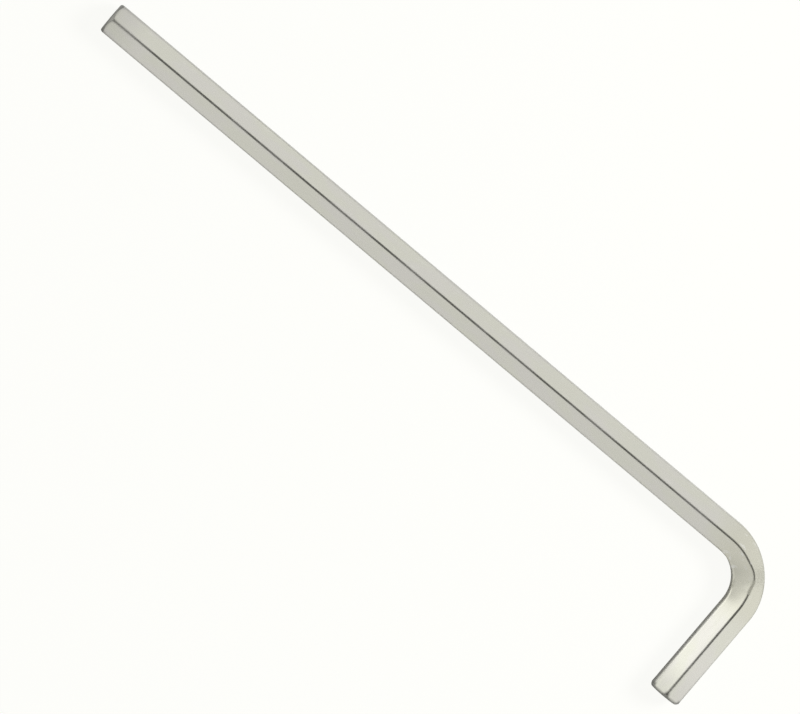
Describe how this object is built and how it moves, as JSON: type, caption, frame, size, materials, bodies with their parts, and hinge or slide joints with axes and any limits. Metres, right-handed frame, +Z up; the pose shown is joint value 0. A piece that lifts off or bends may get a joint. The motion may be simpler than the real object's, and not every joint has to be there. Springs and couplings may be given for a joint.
{
  "type": "hex key",
  "caption": "Right-angle hexagonal steel wrench with a long and a short arm and a chamfered tip on each, for turning screws with a hexagonal socket.",
  "frame": {"origin": "under the middle of the key's own box, on the plane that it lies on", "axes": "+X along the long arm towards its tip, +Y along the short arm towards its tip, +Z up; the bend lies flat and a ridge of the bar is uppermost"},
  "size_m": [0.21, 0.0434, 0.009],
  "materials": {
    "plated_steel": "satin nickel plate over drawn bar"
  },
  "bodies": {
    "root": {"hex_key": "plated_steel"}
  },
  "joints": []
}
